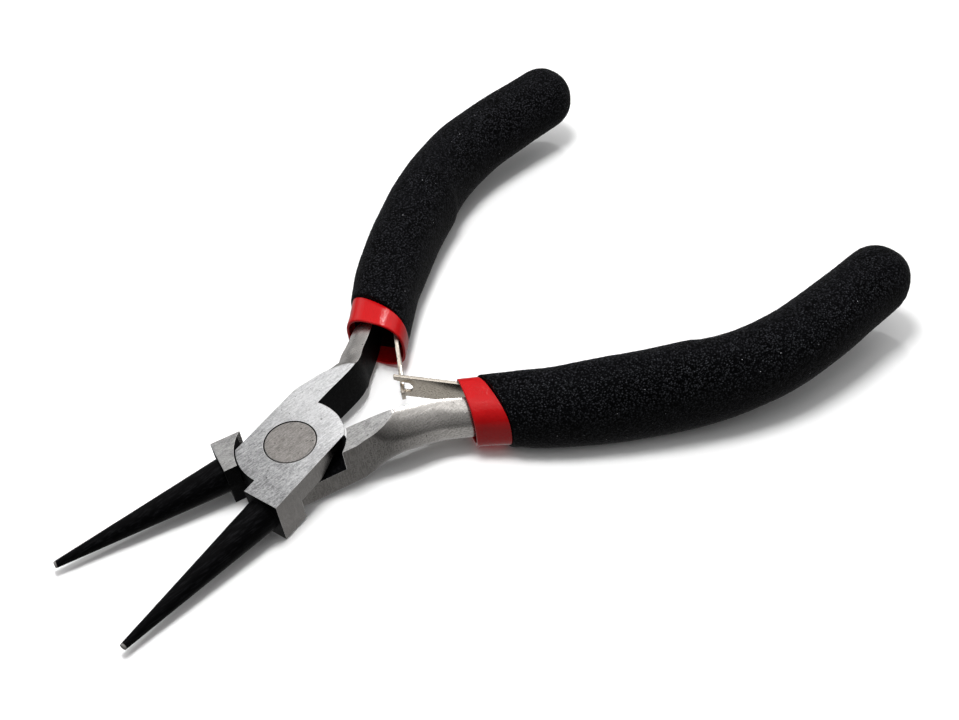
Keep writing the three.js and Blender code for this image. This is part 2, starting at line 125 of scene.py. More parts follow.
FOAM_START = RIM_END + 0.12
FOAM_END = {"upper": 68.5, "lower": 69.65}
FOAM_END_ROUND = 5.0
FOAM_END_FULLNESS = 2.4
FOAM_SQUARE_AT = 16
FOAM_EDGE = 0.3
FOAM_SLANT = 0.55
FOAM_TUCK = {"start": 13, "depth": 1.2, "deepest": 2.0}
FOAM_RINGS = 330
FOAM_SIDES = 200
FOAM_SKIN = [(2.1, 0.034), (4.6, 0.022), (0.22, 0.06)]
FOAM_SINK = 0.05
FOAM_OUTSIDE = [(6, 4.5), (20, 4.8), (34, 4.5), (46, 4.7), (66, 4.3)]
FOAM_INSIDE = [(6, 4.3), (20, 4.7), (33.8, 5.0), (35.6, 4.7), (42, 4.8), (54, 4.95), (66, 4.9)]
FOAM_HALF_HEIGHT = [(6, 4.8), (14, 5.5), (24, 6.3), (32, 6.4), (42, 5.6), (52, 5.1), (66, 4.9)]

LEAF_THICKNESS = 0.5
LEAF_HEIGHT = 3.6
LEAF_DROP = 0.9
LEAF_PIVOT = {"upper": Vector((-24.2, 2.4)), "lower": Vector((-24.2, 2.05))}
LEAF_ANGLE = math.radians(-41.8)
LEAF_BEND = 1.6
LEAF_TIP = 12.0
LEAF_FOOT = -14.0
LEAF_EDGE = 0.07
LEAF_INSIDE = [(8.5, -1.95), (13, -1.6), (19, -1.2)]

# Camera and floor. The tool lies nose down, so the floor slopes a little in the tool's frame.
CAMERA_AT = Vector((42.16, 99.72, 128.36))
CAMERA_AZIMUTH = math.radians(53.96)
CAMERA_ELEVATION = math.radians(46.78)
CAMERA_ROLL = math.radians(-7.99)
CAMERA_LENS = 48.96
FLOOR_SIZE = 2.4
FLOOR_GAP = 0.05
GRIP_TOUCHES_AT = 0.52

# Light, in metres and watts. Each area light has its place to the right of, behind and above the lit
# place as the photographer saw it, then its size and power.
LIT_PLACE = Vector((-0.02, -0.012, 0))
LIGHTS = {
    "key": ((0, 0, 0.22), (0.06, 0.06), 0.40),
    "glint": ((0.06, 0.31, 0.37), (0.02, 0.02), 0.35),
    "overhead": ((-0.10, 0, 0.62), (0.60, 0.60), 0.9),
    "rear": ((0.40, 0.46, 0.50), (0.6, 0.4), 0.6),
    "far left": ((-0.46, 0.46, 0.26), (0.4, 0.25), 0.20),
}

# The world's brightness from straight down (0) to straight up (1). Its strength falls between the two
# WORLD_FALL values, which are cosines of the angle from the photographer's direction.
WORLD_LEVELS = [(0.0, 0.62), (0.42, 0.62), (0.50, 0.16), (0.87, 1.0)]
WORLD_STRENGTH = (0.70, 0.30)
WORLD_FALL = (0.35, 0.95)


# ---- Small helpers ----

def smoothstep(value, start, end):
    t = np.clip((value - start) / (end - start), 0, 1)
    return t * t * (3 - 2 * t)


def lerp(low, high, t):
    return low + (high - low) * t


def value_at(pairs, place):
    """A value read from a list of (place, value) pairs, with smooth steps between them."""
    if place <= pairs[0][0]:
        return pairs[0][1]
    for (start, low), (end, high) in zip(pairs, pairs[1:]):
        if place < end:
            return float(lerp(low, high, smoothstep(place, start, end)))
    return pairs[-1][1]


def frame_matrix(side):
    """From a half's own frame in millimetres to the row frame in metres."""
    turn = Matrix.Rotation(-HALF_OPENING, 4, "Z")
    if side == "upper":
        turn = Matrix.Rotation(HALF_OPENING, 4, "Z") @ Matrix.Rotation(math.pi, 4, "X")
    return Matrix.Scale(MM, 4) @ Matrix.Translation((0, 0, HALF_HEIGHT)) @ turn


def drop(side, amount):
    """A drop towards the floor, as a height in the half's own frame."""
    return amount if side == "upper" else -amount


def add_object(name, vertices, faces):
    mesh = bpy.data.meshes.new(name)
    mesh.from_pydata([tuple(v) for v in vertices], [], faces)
    mesh.update()
    piece = bpy.data.objects.new(name, mesh)
    bpy.context.scene.collection.objects.link(piece)
    return piece


def recalculate(piece):
    work = bmesh.new()
    work.from_mesh(piece.data)
    bmesh.ops.recalc_face_normals(work, faces=work.faces)
    work.to_mesh(piece.data)
    work.free()


def boolean(piece, tool, operation):
    """Joins or cuts a piece with a tool, which is used up."""
    modifier = piece.modifiers.new("boolean", "BOOLEAN")
    modifier.operation = operation
    modifier.solver = "MANIFOLD"
    modifier.object = tool
    ready = piece.evaluated_get(bpy.context.evaluated_depsgraph_get())
    mesh = bpy.data.meshes.new_from_object(ready)
    piece.modifiers.clear()
    piece.data = mesh
    bpy.data.objects.remove(tool)


def smooth(piece, angle=30):
    piece.data.polygons.foreach_set("use_smooth", [True] * len(piece.data.polygons))
    piece.data.set_sharp_from_angle(angle=math.radians(angle))


# ---- Bodies ----

def prism(name, outline, low, high):
    count = len(outline)
    vertices = [(x, y, low) for x, y in outline] + [(x, y, high) for x, y in outline]
    faces = [list(range(count))[::-1], list(range(count, 2 * count))]
    faces += [(i, (i + 1) % count, (i + 1) % count + count, i + count) for i in range(count)]
    piece = add_object(name, vertices, faces)
    recalculate(piece)
    return piece


def box(name, x, y, z):
    return prism(name, [(x[0], y[0]), (x[1], y[0]), (x[1], y[1]), (x[0], y[1])], *z)


def arc(radius, start, end, steps):
    angles = np.linspace(start, end, steps)
    return [(radius * math.cos(a), radius * math.sin(a)) for a in angles]


def turned(name, profile, sides):
    """A body turned about Z from (radius, height) points that start and end on the axis."""
    rings = profile[1:-1]
    vertices = [(0, 0, profile[0][1])]
    for radius, height in rings:
        angles = [2 * math.pi * i / sides for i in range(sides)]
        vertices += [(radius * math.cos(a), radius * math.sin(a), height) for a in angles]
    vertices.append((0, 0, profile[-1][1]))
    faces = []
    for i in range(sides):
        j = (i + 1) % sides
        faces.append((0, 1 + j, 1 + i))
        for k in range(len(rings) - 1):
            a, b = 1 + k * sides, 1 + (k + 1) * sides
            faces.append((a + i, a + j, b + j, b + i))
        last = 1 + (len(rings) - 1) * sides
        faces.append((last + i, last + j, len(vertices) - 1))
    piece = add_object(name, vertices, faces)
    recalculate(piece)
    return piece


class PlanLine:
    """A smooth line in plan through points, measured along its length."""

    def __init__(self, points, steps=60):
        p = [np.array(point, float) for point in points]
        found = []
        for i in range(len(p) - 1):
            before, after = p[max(i - 1, 0)], p[min(i + 2, len(p) - 1)]
            slope_in, slope_out = (p[i + 1] - before) / 2, (after - p[i]) / 2
            for t in np.linspace(0, 1, steps, endpoint=False):
                found.append(
                    (2 * t**3 - 3 * t**2 + 1) * p[i]
                    + (t**3 - 2 * t**2 + t) * slope_in
                    + (3 * t**2 - 2 * t**3) * p[i + 1]
                    + (t**3 - t**2) * slope_out
                )
        self.points = np.array(found + [p[-1]])
        steps_taken = np.linalg.norm(np.diff(self.points, axis=0), axis=1)
        self.lengths = np.concatenate([[0], np.cumsum(steps_taken)])
        self.length = self.lengths[-1]
        self.tangents = np.gradient(self.points, self.lengths, axis=0)

    def at(self, along, sideways=0):
        """The point at a length, moved sideways: positive is away from the other handle."""
        inside = min(max(along, 0), self.length)
        x, y = (np.interp(inside, self.lengths, self.points[:, i]) for i in (0, 1))
        tx, ty = (np.interp(inside, self.lengths, self.tangents[:, i]) for i in (0, 1))
        size = math.hypot(tx, ty)
        tx, ty = tx / size, ty / size
        beyond = along - inside
        return x + tx * beyond + ty * sideways, y + ty * beyond - tx * sideways


handle_line = {side: PlanLine(route) for side, route in HANDLE_ROUTE.items()}


def full_oval(angle, ring):
    across, up = math.cos(angle), math.sin(angle)
    reach = ring["outside"] if across > 0 else ring["inside"]
    power = ring.get("power", 0.9)
    return (
        math.copysign(abs(across) ** power, across) * reach,
        math.copysign(abs(up) ** power, up) * ring["height"],
    )


def half_round(angle, ring):
    return max(0.0, math.cos(angle)) * ring["outside"], math.sin(angle) * ring["height"]


def swept(name, line, rings, sides, outline, loop=False):
    """A closed body through rings along a line, with its ends closed or joined to each other."""
    vertices = []
    for ring in rings:
        for i in range(sides):
            out, up = outline(2 * math.pi * i / sides, ring)
            along = ring["along"] + ring.get("slant", 0) * out
            x, y = line.at(along, out)
            vertices.append((x, y, up + ring.get("lift", 0)))
    count = len(rings)
    faces = []
    for k in range(count if loop else count - 1):
        a, b = k * sides, (k + 1) % count * sides
        faces += [(a + i, a + (i + 1) % sides, b + (i + 1) % sides, b + i) for i in range(sides)]
    if not loop:
        faces.append(tuple(range(sides)))
        faces.append(tuple(range((count - 1) * sides, count * sides))[::-1])
    piece = add_object(name, vertices, faces)
    recalculate(piece)
    return piece


# ---- Steel halves ----

def plate_outline(inside):
    shoulder = math.asin(JOINT_HALF_WIDTH / DISC_RADIUS)
    throat = math.asin(inside / DISC_RADIUS)
    return [
        (JAW_ROOT_FRONT, -JOINT_HALF_WIDTH),
        (JAW_ROOT_FRONT, -JAW_ROOT_INSIDE),
        (DISC_RADIUS, -JAW_ROOT_INSIDE),
        *arc(DISC_RADIUS, 0, shoulder, 40),
        (NECK_START, JOINT_HALF_WIDTH),
        (NECK_START, inside),
        *arc(DISC_RADIUS, math.pi - throat, math.pi + shoulder, 48),
    ]


def tang_root_outline(inside):
    return [
        (NECK_START, inside),
        (NECK_START, JOINT_HALF_WIDTH),
        (TANG_ROOT_END + 1.8, JOINT_HALF_WIDTH),
        (TANG_ROOT_END, JOINT_HALF_WIDTH - 0.45),
        (TANG_ROOT_END, inside),
    ]


def tang_rings(line, notch_x, root_depth, lift):
    neck_length = NECK_START - notch_x
    mouth = line.length - GRIPPED_LENGTH
    rings = []
    for along in np.linspace(0, mouth + TANG_SHOWN, TANG_RINGS):
        before_notch = max(0.0, neck_length - along)
        in_grip = smoothstep(along, mouth, mouth + 3)
        fallen = min(1.0, max(0.0, (along - neck_length + 0.5) / (mouth + 3.5 - neck_length)))
        swollen = lerp(root_depth, NECK_DEPTH, smoothstep(along, neck_length * 0.4, neck_length))
        neck_depth = lerp(swollen, MOUTH_DEPTH, smoothstep(along, neck_length, mouth))
        spread = GROUND_SPREAD * before_notch**GROUND_CURVE / neck_depth
        ground = 0.985 * spread / (1 + spread**6) ** (1 / 6)
        bar_height = lerp(HALF_HEIGHT, MOUTH_HALF_HEIGHT, smoothstep(along, neck_length, mouth))
        rings.append({
            "along": along,
            "outside": lerp(neck_depth, GRIP_DEPTH, in_grip),
            "height": lerp(bar_height / math.sqrt(1 - ground**2), GRIP_HALF_HEIGHT, in_grip),
            "lift": lift * math.sin(fallen * math.pi / 2),
        })
    return rings


def tang(side):
    notch, inside = TANG_NOTCH[side], TANG_INSIDE[side]
    neck = [(NECK_START, inside), (TANG_ROOT_END, inside), notch]
    line = PlanLine([*neck, TANG_BEND[side], *HANDLE_ROUTE[side][1:-1]])
    rings = tang_rings(line, notch[0], JOINT_HALF_WIDTH - inside, drop(side, HANDLE_DROP))
    return swept("tang", line, rings, TANG_SIDES, half_round)


def round_jaw():
    base, edge = JAW_ROOT_FRONT - JAW_SUNK, JAW_EDGE
    profile = [(0, base)]
    for t in np.linspace(0, 1, 24):
        profile.append((lerp(JAW_BASE_RADIUS, JAW_TIP_RADIUS, t), lerp(base, JAW_TIP_X - edge, t)))
    profile.append((JAW_TIP_RADIUS - edge * 0.35, JAW_TIP_X - edge * 0.3))
    profile.append((JAW_TIP_RADIUS - edge, JAW_TIP_X))
    profile.append((0, JAW_TIP_X))
    jaw = turned("jaw", profile, 96)
    jaw.data.transform(Matrix.Rotation(math.pi / 2, 4, "Y"))
    for vertex in jaw.data.vertices:
        along = (vertex.co.x - base) / (JAW_TIP_X - base)
        vertex.co.y -= lerp(JAW_BASE_RADIUS, JAW_TIP_RADIUS, along) + JAW_INSIDE
    return jaw


def convex(name, points):
    work = bmesh.new()
    for point in points:
        work.verts.new(point)
    bmesh.ops.convex_hull(work, input=work.verts)
    piece = add_object(name, [], [])
    work.to_mesh(piece.data)
    work.free()
    recalculate(piece)
    return piece


def plate_relief():
    """The slanting relief ground off the plate's inner corner, behind the jaw."""
    edge, top, bottom = -JOINT_HALF_WIDTH, -LAP_CLEARANCE, -HALF_HEIGHT + 0.1
    front, back, width = 0.8, -4.3, 2.6
    far = back - width * 2
    return convex("relief", [
        (front, edge, top),
        (back, edge, bottom),
        (back - 1.5, edge + width, top),
        (front, edge - 3, top),
        (back, edge - 3, bottom),
        (far, edge - 3, bottom),
        (far, edge + width, top),
        (front, edge - 3, top + 1),
        (far, edge + width, top + 1),
        (front, edge, top + 1),
    ])


def notch_cut(place, face, size):
    cut = box("notch", (-size, size), (-size, size), (-size, size))
    cut.data.transform(Matrix.Rotation(math.pi / 4, 4, "X"))
    cut.data.transform(Matrix.Translation((*place, face * HALF_HEIGHT)))
    return cut


def steel_slot(centre, normal):
    """Which of the half's finishes a face has: 0 ground, 1 side and tang, 2 blackened, 3 jaw."""
    if centre.x > JAW_ROOT_FRONT + 0.02:
        return 3
    if abs(normal.z) > 0.985 and abs(abs(centre.z) - HALF_HEIGHT) < 0.02:
        return 0
    if abs(centre.y) > JOINT_HALF_WIDTH - 0.5 and abs(normal.y) > 0.5 and centre.x > TANG_ROOT_END:
        return 1
    if centre.x < TANG_ROOT_END + 2 and normal.y > -0.45 and centre.y > 1:
        return 1
    return 2


def forged_half(side):
    inside = TANG_INSIDE[side]
    full = (-HALF_HEIGHT, HALF_HEIGHT)
    neck_end = TANG_NOTCH[side][0] - 1.2
    half = box(side + "_half_steel", (3, JAW_ROOT_FRONT), (-JOINT_HALF_WIDTH, -JAW_ROOT_INSIDE), full)
    boolean(half, prism("root", tang_root_outline(inside), *full), "UNION")
    clip = box("slab", (neck_end - 0.1, JAW_TIP_X), (-20, 20), full)
    boolean(clip, box("behind", (-100, neck_end), (-20, 40), (-20, 20)), "UNION")
    bar = tang(side)
    boolean(bar, clip, "INTERSECT")
    boolean(half, bar, "UNION")
    pocket = prism("pocket", arc(POCKET_RADIUS, 0, 2 * math.pi, 161)[:-1], -LAP_CLEARANCE, 8)
    boolean(half, pocket, "DIFFERENCE")
    boolean(half, prism("plate", plate_outline(inside), -HALF_HEIGHT, -LAP_CLEARANCE), "UNION")
    boolean(half, round_jaw(), "UNION")
    boolean(half, plate_relief(), "DIFFERENCE")
    bore = arc(RIVET_HEAD_RADIUS + RIVET_CLEARANCE, 0, 2 * math.pi, 129)[:-1]
    boolean(half, prism("bore", bore, -5, 5), "DIFFERENCE")
    boolean(half, notch_cut(TANG_NOTCH[side], -drop(side, 1), NOTCH_SIZE[side]), "DIFFERENCE")
    # The upper half gets lighter copies of the same steels: painted light.
    steels = [ground_steel_lower(), bar_steel_lower()]
    if side == "upper":
        steels = [ground_steel_upper(), bar_steel_upper()]
    finishes = steels + [black_oxide(), jaw_black()]
    half.data.materials.clear()
    for finish in finishes:
        half.data.materials.append(finish)
    for polygon in half.data.polygons:
        polygon.material_index = steel_slot(polygon.center, polygon.normal)
    half.data.transform(frame_matrix(side))
    smooth(half, 28)
    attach(half, side + "_handle")
    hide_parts(side + "_half")
    return half


def rivet():
    top, edge, radius = HALF_HEIGHT, RIVET_EDGE, RIVET_HEAD_RADIUS
    profile = [
        (0, -top), (radius * 0.5, -top), (radius - edge, -top), (radius, -top + edge),
        (radius, top - edge), (radius - edge, top), (radius * 0.5, top), (0, top),
    ]
    piece = turned("rivet_heads", profile, 128)
    piece.data.materials.append(rivet_steel())
    piece.data.transform(frame_matrix("lower"))
    smooth(piece, 30)
    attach(piece, "lower_handle")
    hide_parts("joint_rivet")


# ---- Sleeves and foam ----

def rim_ring(side, along, less, slant, power=RIM_FULLNESS):
    return {
        "along": along,
        "slant": slant,
        "outside": RIM_OUTSIDE - less,
        "inside": RIM_INSIDE[side] - less,
        "height": RIM_HALF_HEIGHT - less,
        "power": power,
    }


def sleeve(side):
    """The rim with its rounded lip, and the bore behind it."""
    lip = RIM_WALL / 2
    start = RIM_START[side]
    rings = []
    for t in np.linspace(1, 0, OUTSIDE_RINGS):
        slant = lerp(RIM_SLANT, FOAM_SLANT, t)
        rings.append(rim_ring(side, lerp(start + lip, RIM_END, t), 0, slant))
    for turn in np.linspace(0, math.pi, LIP_RINGS + 1)[1:]:
        along = start + lip * (1 - math.sin(turn))
        rings.append(rim_ring(side, along, lip * (1 - math.cos(turn)), RIM_SLANT))
    for along in np.linspace(start + 0.6, RIM_DEPTH, 10):
        narrow = BORE_WALL * smoothstep(along, start + 1.5, RIM_END + 1)
        slant = RIM_SLANT * (1 - narrow / BORE_WALL)
        rings.append(rim_ring(side, along, RIM_WALL + narrow, slant, BORE_FULLNESS))
    rings.append(rim_ring(side, RIM_DEPTH, BORE_WALL, 0))
    rings.append(rim_ring(side, RIM_END + 0.3, BORE_WALL, FOAM_SLANT))
    piece = swept(side + "_sleeve_vinyl", handle_line[side], rings, SLEEVE_SIDES, full_oval, loop=True)
    piece.data.transform(Matrix.Translation((0, 0, drop(side, HANDLE_DROP))))
    piece.data.materials.append(red_vinyl())
    piece.data.materials.append(deep_bore_dark())
    # Faces deeper in the bore than RED_DEPTH take the darker red-black.
    deep = [i for i, ring in enumerate(rings)
            if i >= OUTSIDE_RINGS + LIP_RINGS and ring["along"] > start + RED_DEPTH]
    for polygon in piece.data.polygons:
        polygon.material_index = int(polygon.index // SLEEVE_SIDES in deep)
    piece.data.transform(frame_matrix(side))
    smooth(piece, 50)
    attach(piece, side + "_handle")
    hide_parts(side + "_sleeve")


def foam_ring(side, along, slant=None, less=0.0):
    left = (FOAM_END[side] - along) / FOAM_END_ROUND
    size = 1 if left >= 1 else math.sqrt(max(0, 1 - (1 - left) ** FOAM_END_FULLNESS))
    if slant is None:
        slant = lerp(FOAM_SLANT, 0, smoothstep(along, FOAM_START, FOAM_SQUARE_AT))
    return {
        "along": along,
        "slant": slant,
        "outside": value_at(FOAM_OUTSIDE, along) * size - less,
        "inside": value_at(FOAM_INSIDE, along) * size - less,
        "height": value_at(FOAM_HALF_HEIGHT, along) * size - less,
    }


def foam(side):
    """A closed body: the opening's wall, tucked in behind the front edge, then the skin."""
    tuck, depth = FOAM_TUCK["start"], FOAM_TUCK["depth"]
    rings = [
        foam_ring(side, tuck, 0, FOAM_TUCK["deepest"]),
        foam_ring(side, tuck, 0, depth),
        foam_ring(side, FOAM_START + 1, FOAM_SLANT, depth),
        foam_ring(side, FOAM_START, FOAM_SLANT, depth),
    ]
    for turn in np.linspace(0, math.pi / 2, 5):
        along = FOAM_START + FOAM_EDGE * (1 - math.cos(turn))
        rings.append(foam_ring(side, along, FOAM_SLANT, FOAM_EDGE * (1 - math.sin(turn))))
    round_start = FOAM_END[side] - FOAM_END_ROUND
    middle = np.linspace(FOAM_START + 0.5, round_start, FOAM_RINGS)[1:]
    rings += [foam_ring(side, along) for along in middle]
    for turn in np.linspace(0, math.pi / 2, 46)[1:-1]:
        rings.append(foam_ring(side, round_start + FOAM_END_ROUND * math.sin(turn)))
    piece = swept(side + "_foam", handle_line[side], rings, FOAM_SIDES, full_oval)
    piece.data.transform(Matrix.Translation((0, 0, drop(side, HANDLE_DROP))))
    pebble(piece)
    piece.data.materials.append(black_foam())
    piece.data.transform(frame_matrix(side))
    smooth(piece, 60)
    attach(piece, side + "_handle")
    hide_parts(side + "_foam_grip")


def pebble(piece):
    """Moves the foam's skin in and out by its small pebbles and slow dents.

    FOAM_SKIN holds the scale and the depth of each, and the skin first sinks by FOAM_SINK.
    """
    moved = []
    for vertex in piece.data.vertices:
        out = sum(noise.noise(vertex.co * scale) * depth for scale, depth in FOAM_SKIN) - FOAM_SINK
        moved.append(vertex.co + vertex.normal * out)
    for vertex, place in zip(piece.data.vertices, moved):
        vertex.co = place


# ---- Leaf springs ----

def fork_outline():
    half, slot, start = LEAF_HEIGHT / 2, 0.88, 8.1
    curve = [(start + slot - slot * math.cos(a), -slot * math.sin(a)) for a in
             np.linspace(math.pi / 2, -math.pi / 2, 17)]
    return [
        (LEAF_FOOT, -half), (9.6, -half), (10.0, -half + 0.4), (10.0, -slot - 0.1), *curve,
        (9.6, slot), (10.6, slot + 0.3), (10.6, half), (LEAF_FOOT, half),
    ]


def hook_outline():
    half, neck, head = LEAF_HEIGHT / 2, 0.5, 0.72
    return [
        (LEAF_FOOT, -half), (0.5, -half), (4.0, -half + 0.5), (6.5, -neck), (11.2, -neck),
        (11.4, -neck + 0.2), (11.4, head), (11.1, head + 0.3),
        (10.75, head + 0.2), (10.75, neck), (7.0, neck), (5.5, half - 0.7), (3.0, half),
        (LEAF_FOOT, half),
    ]


def leaf_route(side):
    """The strip's centre line in plan, from its tip back into the sleeve."""
    direction = Vector((math.cos(LEAF_ANGLE), math.sin(LEAF_ANGLE)))
    root = [handle_line[side].at(along, sideways) for along, sideways in LEAF_INSIDE]
    straight = [LEAF_PIVOT[side] + direction * reach for reach in (LEAF_TIP, 8, 4, 0)]
    return PlanLine([tuple(p) for p in straight] + root)


def leaf(side, outline):
    """The outline cut across into short lengths, made solid and bent along the strip's route."""
    work = bmesh.new()
    work.faces.new([work.verts.new((s, 0, z)) for s, z in outline])
    for s in np.arange(LEAF_FOOT + 0.5, 8, 0.5):
        geometry = work.verts[:] + work.edges[:] + work.faces[:]
        bmesh.ops.bisect_plane(work, geom=geometry, plane_co=(s, 0, 0), plane_no=(1, 0, 0))
    extruded = bmesh.ops.extrude_face_region(work, geom=work.faces[:])
    for element in extruded["geom"]:
        if isinstance(element, bmesh.types.BMVert):
            element.co.y += LEAF_THICKNESS
    bmesh.ops.recalc_face_normals(work, faces=work.faces)
    corners = [e for e in work.edges if len(e.link_faces) == 2 and e.calc_face_angle(0) > 1.0
               and abs(e.verts[0].co.y - e.verts[1].co.y) < 1e-6]
    bmesh.ops.bevel(work, geom=corners, offset=LEAF_EDGE, segments=2, profile=0.5, affect="EDGES")
    line = leaf_route(side)
    for vertex in work.verts:
        s, thick, z = vertex.co
        x, y = line.at(LEAF_TIP - s, thick - LEAF_THICKNESS / 2)
        deeper = smoothstep(-s, 0, 6) * (HANDLE_DROP - LEAF_DROP)
        vertex.co = (x, y, z + drop(side, LEAF_DROP + deeper))
    piece = add_object(side + "_leaf_strip", [], [])
    work.to_mesh(piece.data)
    work.free()
    recalculate(piece)
    piece.data.materials.append(spring_steel())
    matrix = frame_matrix(side)
    piece.data.transform(matrix)
    smooth(piece, 35)
    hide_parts(side + "_leaf_tongue", side + "_leaf_root")
    height = drop(side, LEAF_DROP)
    ends = [matrix @ Vector((*line.at(LEAF_TIP - s), height)) for s in (-LEAF_BEND, LEAF_BEND)]
    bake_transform(piece)


# ---- Materials ----

def map_range(tree, source, low, high, start, end):
    """A value moved from start..end to low..high, and held inside it."""
    node = tree.nodes.new("ShaderNodeMapRange")
    for key, value in (("From Min", start), ("From Max", end), ("To Min", low), ("To Max", high)):
        node.inputs[key].default_value = value
    tree.links.new(source, node.inputs["Value"])
    return node.outputs[0]


class Finish:
    """A node material being built. Lengths in its textures are in millimetres."""

    def __init__(self, name):
        self.material = bpy.data.materials.new(name)
        self.material.use_nodes = True
        self.tree = self.material.node_tree
        self.shader = self.tree.nodes["Principled BSDF"]
        coordinates = self.add("ShaderNodeTexCoord")
        scaled = self.add("ShaderNodeVectorMath", operation="SCALE")
        scaled.inputs["Scale"].default_value = 1 / MM
        self.link(coordinates.outputs["Object"], scaled.inputs[0])
        self.place = scaled.outputs[0]

    def add(self, kind, **settings):
        node = self.tree.nodes.new(kind)
        for key, value in settings.items():
            setattr(node, key, value)
        return node

    def link(self, source, target):
        self.tree.links.new(source, target)

    def set(self, **values):
        for key, value in values.items():
            self.shader.inputs[key.replace("_", " ")].default_value = value

    def stretched(self, rotation, scale):
        node = self.add("ShaderNodeMapping")
        node.inputs["Rotation"].default_value = rotation
        node.inputs["Scale"].default_value = scale
        self.link(self.place, node.inputs["Vector"])
        return node.outputs[0]

    def noise(self, place, scale, detail=3.0, roughness=0.55):
        node = self.add("ShaderNodeTexNoise")
        node.inputs["Scale"].default_value = scale
        node.inputs["Detail"].default_value = detail
        node.inputs["Roughness"].default_value = roughness
        self.link(place, node.inputs["Vector"])
        return node.outputs["Fac"]

    def cells(self, scale, feature="F1", randomness=1.0):
        node = self.add("ShaderNodeTexVoronoi", feature=feature)
        node.inputs["Scale"].default_value = scale
        node.inputs["Randomness"].default_value = randomness
        self.link(self.place, node.inputs["Vector"])
        return node

    def spread(self, source, low, high, start=0.0, end=1.0):
        return map_range(self.tree, source, low, high, start, end)

    def blend(self, factor, first, second):
        node = self.add("ShaderNodeMix", data_type="RGBA")
        self.link(factor, node.inputs["Factor"])
        for value, socket in ((first, node.inputs[6]), (second, node.inputs[7])):
            if isinstance(value, tuple):
                socket.default_value = (*value, 1)
            else:
                self.link(value, socket)
        return node.outputs[2]

    def sum(self, first, second):
        node = self.add("ShaderNodeMath", operation="ADD")
        self.link(first, node.inputs[0])
        self.link(second, node.inputs[1])
        return node.outputs[0]

    def edges(self, radius, low, high):
        """1 on edges that handling has worn, 0 elsewhere."""
        bevel = self.add("ShaderNodeBevel", samples=6)
        bevel.inputs["Radius"].default_value = radius * MM
        geometry = self.add("ShaderNodeNewGeometry")
        dot = self.add("ShaderNodeVectorMath", operation="DOT_PRODUCT")
        self.link(bevel.outputs[0], dot.inputs[0])
        self.link(geometry.outputs["Normal"], dot.inputs[1])
        return self.spread(dot.outputs["Value"], 1.0, 0.0, low, high)

    def bump(self, height, depth, strength=1.0, soft_edge=0.0):
        node = self.add("ShaderNodeBump")
        node.inputs["Distance"].default_value = depth * MM
        node.inputs["Strength"].default_value = strength
        self.link(height, node.inputs["Height"])
        if soft_edge:
            bevel = self.add("ShaderNodeBevel", samples=6)
            bevel.inputs["Radius"].default_value = soft_edge * MM
            self.link(bevel.outputs[0], node.inputs["Normal"])
        self.link(node.outputs[0], self.shader.inputs["Normal"])

    def use(self, **sources):
        for key, source in sources.items():
            self.link(source, self.shader.inputs[key.replace("_", " ")])


# Where the root's streak and painted shade give way along a tang, and where the plates' painted sheen
# changes.
ROOT_STEEL = (-16.0, -9.0)
PAINTED_SHEEN_SPAN = (-6.0, 6.0)


def once(make):
    """Keeps the material that a function makes, so that it is made once."""
    made = []

    def give():
        if not made:
            made.append(make())
        return made[0]

    return give


def steel(name, dark, light, rough, streak, depth, patch=0.5, root_streak=None, root_painted_shade=1.0,
          painted_sheen=0.0):
    """Bright steel. The streak is the scale of its grinding marks along X, Y and Z.

    The root streak is that of the steel nearer the joint than the neck's end, and the root painted shade is
    painted shade that darkens that steel.
    The painted sheen is painted light: how much lighter the face is towards the handles than towards the
    jaws.
    """
    finish = Finish(name)
    split = finish.add("ShaderNodeSeparateXYZ")
    finish.link(finish.place, split.inputs[0])
    marks = finish.noise(finish.stretched((0, 0, 0), streak), 1.0, 4.0, 0.7)
    if root_streak:
        root_marks = finish.noise(finish.stretched((0, 0, 0), root_streak), 1.0, 4.0, 0.7)
        near_root = finish.spread(split.outputs["X"], 0.0, 1.0, *ROOT_STEEL)
        marks = finish.blend(near_root, marks, root_marks)
    grains = finish.noise(finish.place, 4.5, 3.0, 0.7)
    patches = finish.noise(finish.place, patch, 3.0, 0.6)
    both = finish.sum(
        finish.spread(marks, 0, 0.5, 0.32, 0.68),
        finish.spread(grains, 0, 0.35, 0.36, 0.64),
    )
    both = finish.sum(both, finish.spread(patches, 0, 0.15, 0.35, 0.65))
    # Painted sheen: painted light that makes the face lighter towards the handles.
    if painted_sheen:
        both = finish.sum(both, finish.spread(split.outputs["X"], painted_sheen, -painted_sheen, *PAINTED_SHEEN_SPAN))
    pits = finish.spread(finish.noise(finish.place, 2.3, 2.0, 0.5), 1.0, 0.0, 0.25, 0.29)
    # The pale worn edges are partly wear and partly a painted edge highlight.
    worn = finish.edges(0.13, 0.70, 0.95)
    colour = finish.blend(both, dark, light)
    # Painted shade: the steel nearer the joint is darkened towards black.
    if root_streak:
        shade = finish.spread(split.outputs["X"], 1.0, root_painted_shade, *ROOT_STEEL)
        colour = finish.blend(shade, (0.0, 0.0, 0.0), colour)
    colour = finish.blend(pits, colour, tuple(value * 0.3 for value in dark))
    finish.use(Base_Color=finish.blend(worn, colour, (0.90, 0.89, 0.88)))
    finish.use(Roughness=finish.spread(both, rough[1], rough[0]))
    finish.set(Metallic=1.0)
    finish.bump(marks, depth, soft_edge=0.10)
    return finish.material


# The upper and lower steels are lit and shaded copies of one steel: the upper ones are painted lighter, as
# painted light.
@once
def ground_steel_upper():
    return steel(
        "ground steel upper", dark=(0.23, 0.23, 0.234), light=(0.79, 0.79, 0.796), rough=(0.34, 0.50),
        streak=(0.9, 4.2, 3.0), depth=0.035, painted_sheen=0.30,
    )


